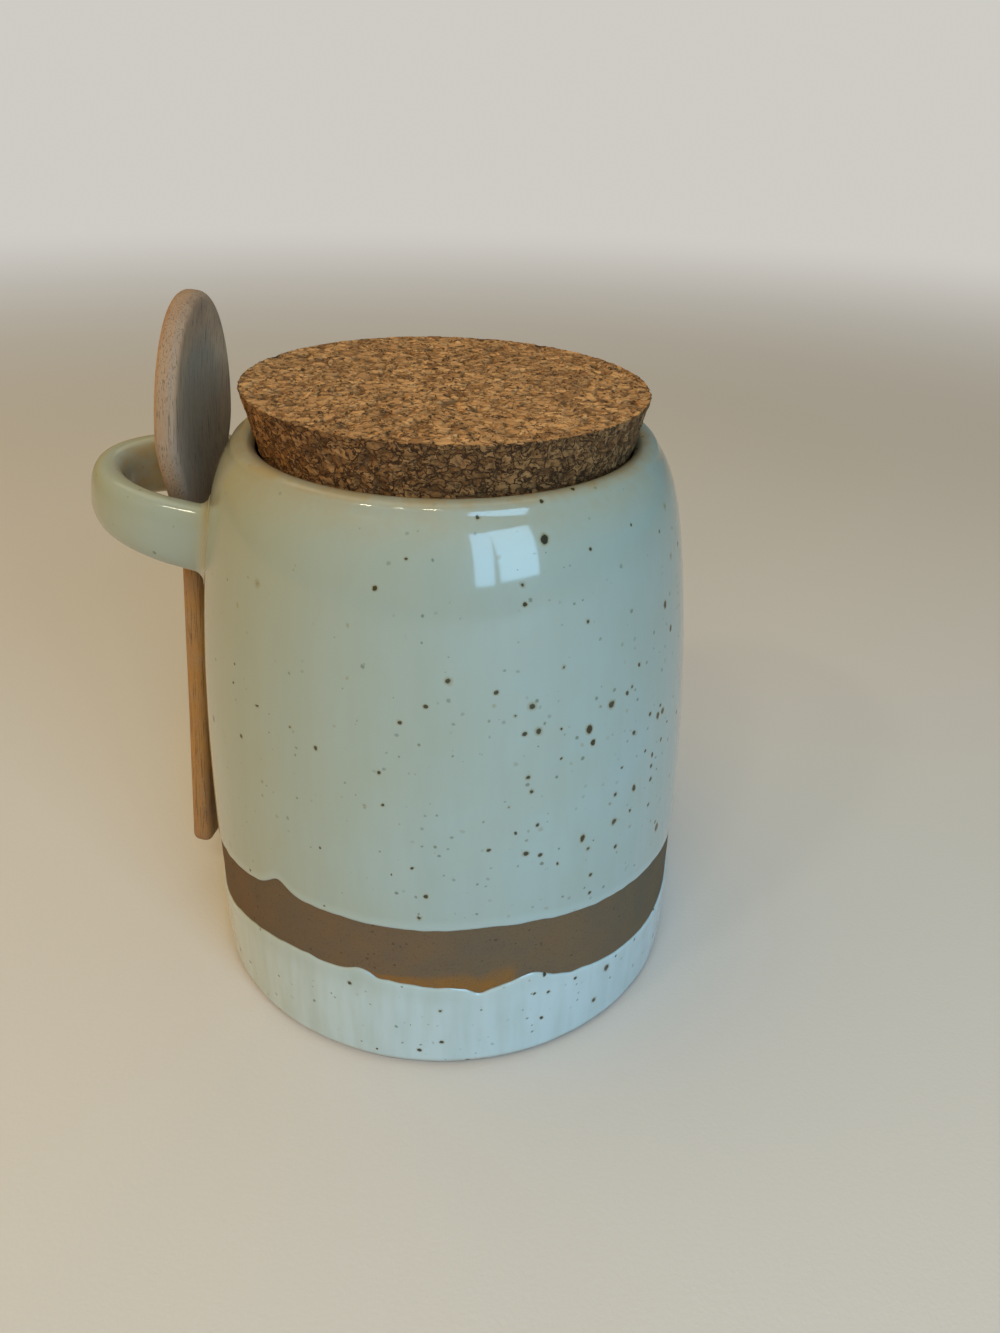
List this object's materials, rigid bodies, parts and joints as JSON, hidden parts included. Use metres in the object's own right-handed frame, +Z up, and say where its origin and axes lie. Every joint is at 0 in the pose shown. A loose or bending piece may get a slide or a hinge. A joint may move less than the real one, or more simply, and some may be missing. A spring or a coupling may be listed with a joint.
{
  "type": "stoneware jar",
  "caption": "Thrown stoneware storage jar with a push-in cork lid and a side loop that holds a small wooden spoon.",
  "frame": {"origin": "on the jar's axis, in the plane that its foot stands on", "axes": "+Z up along the jar's axis; the spoon loop is on the -X side, turned 13 degrees towards +Y; -Y is the front"},
  "size_m": [0.1278, 0.106, 0.1423],
  "materials": {
    "stoneware_glaze": "gloss",
    "bare_clay": "matte",
    "cork": "matte",
    "spoon_wood": "matte"
  },
  "bodies": {
    "root": {"jar": "stoneware_glaze", "cork_lid": "cork", "wooden_spoon": "spoon_wood"}
  },
  "joints": []
}
